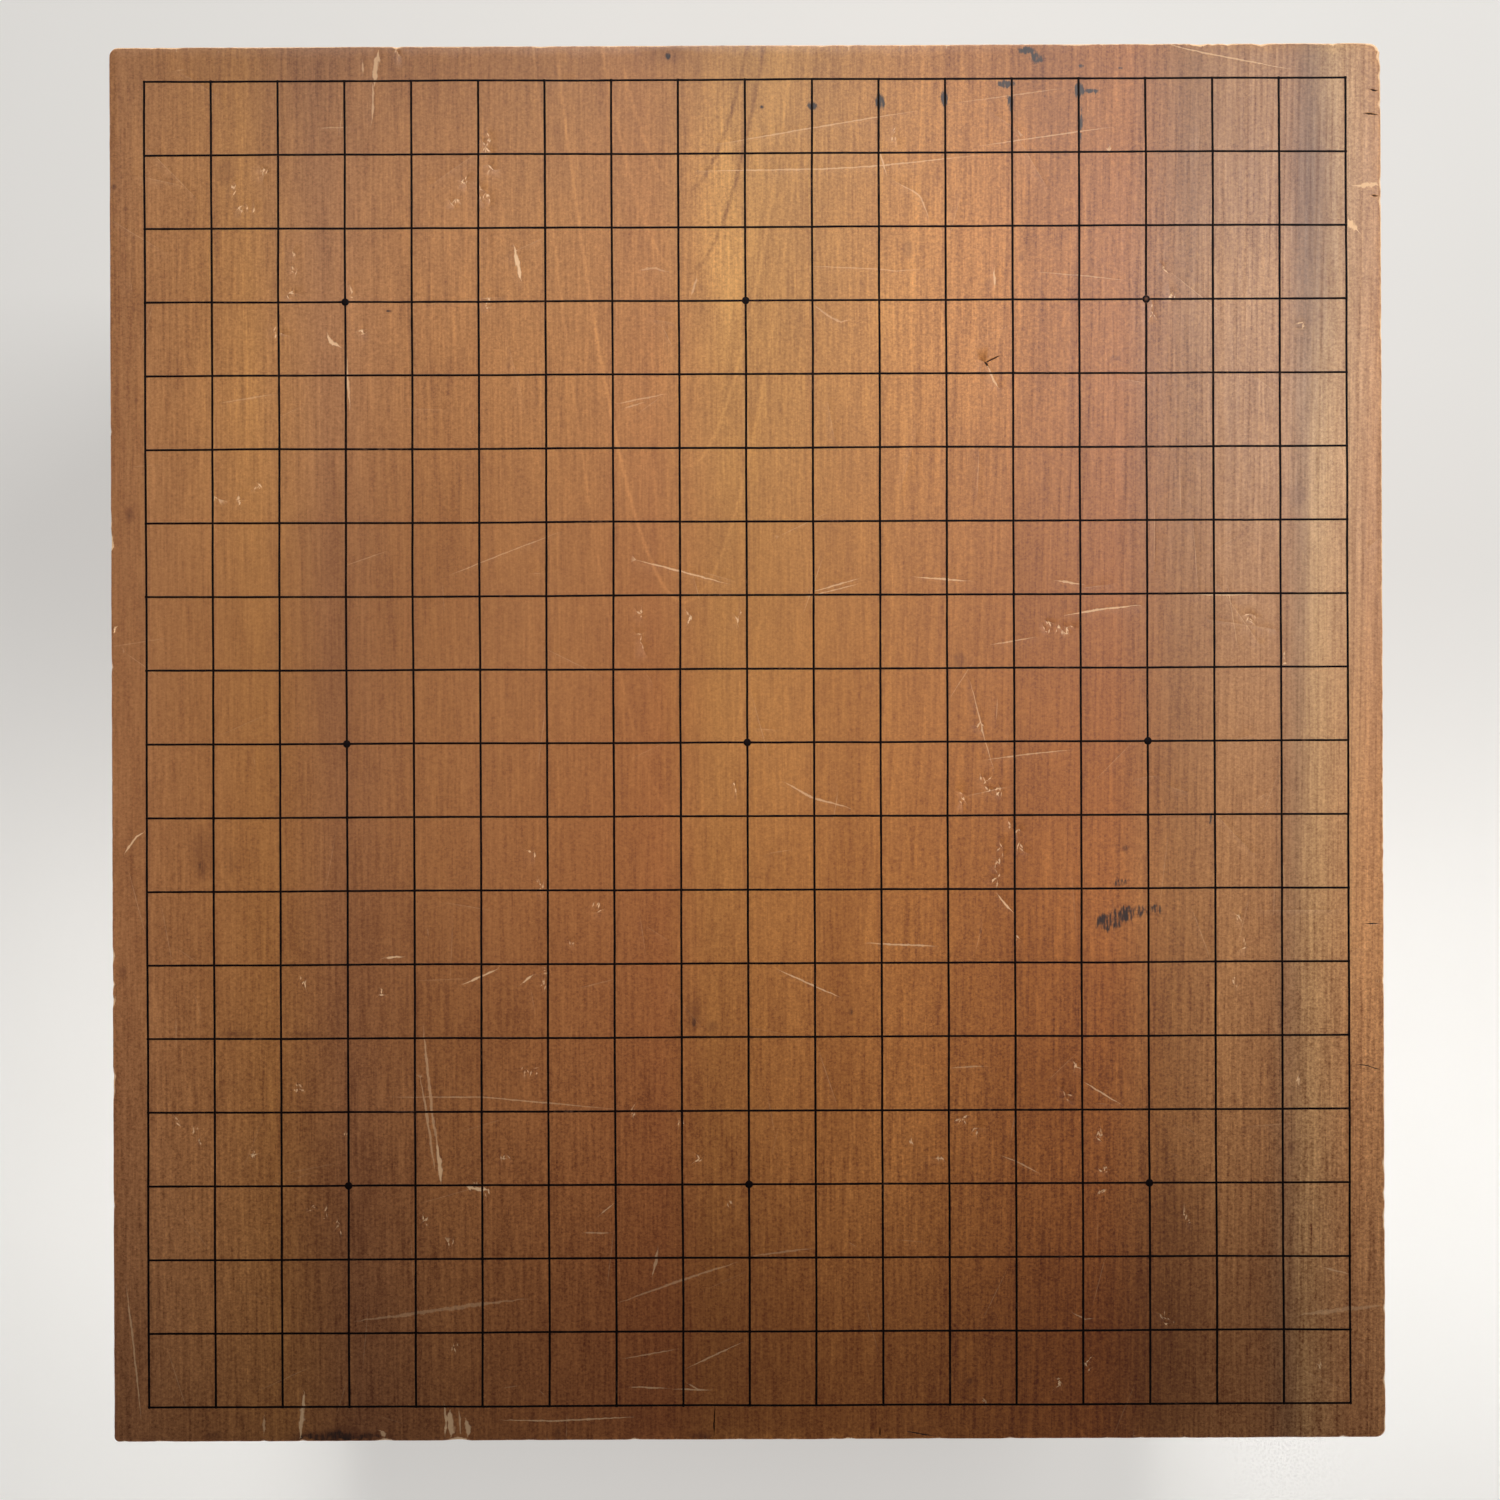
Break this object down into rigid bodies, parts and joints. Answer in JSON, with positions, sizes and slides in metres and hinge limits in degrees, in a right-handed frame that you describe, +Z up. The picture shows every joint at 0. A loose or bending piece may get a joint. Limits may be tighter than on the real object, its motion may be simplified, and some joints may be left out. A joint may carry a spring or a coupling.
{
  "type": "go board",
  "caption": "Floor go board: a thick one-piece wooden block with a lacquered playing grid and star points, standing on carved fluted legs that plug into its underside.",
  "frame": {"origin": "on the floor, under the middle of the block", "axes": "+X to the player's right, +Y along the grain and away from the player in front, +Z up"},
  "size_m": [0.424, 0.465, 0.2662],
  "materials": {
    "block_wood": "old waxed wood, worn and scratched",
    "leg_wood": "carved and waxed wood",
    "lacquer": "satin black lacquer film"
  },
  "bodies": {
    "board": {"block": "block_wood", "row_lines": "lacquer", "column_lines": "lacquer", "star_points": "lacquer"},
    "leg_front_left": {"leg_front_left": "leg_wood"},
    "leg_front_right": {"leg_front_right": "leg_wood"},
    "leg_rear_left": {"leg_rear_left": "leg_wood"},
    "leg_rear_right": {"leg_rear_right": "leg_wood"}
  },
  "joints": [
    {"name": "pull_front_left", "type": "slide", "parent": "board", "child": "leg_front_left", "axis": [0, 0, -1], "range_m": [0, 0.034]},
    {"name": "pull_front_right", "type": "slide", "parent": "board", "child": "leg_front_right", "axis": [0, 0, -1], "range_m": [0, 0.034]},
    {"name": "pull_rear_left", "type": "slide", "parent": "board", "child": "leg_rear_left", "axis": [0, 0, -1], "range_m": [0, 0.034]},
    {"name": "pull_rear_right", "type": "slide", "parent": "board", "child": "leg_rear_right", "axis": [0, 0, -1], "range_m": [0, 0.034]}
  ]
}
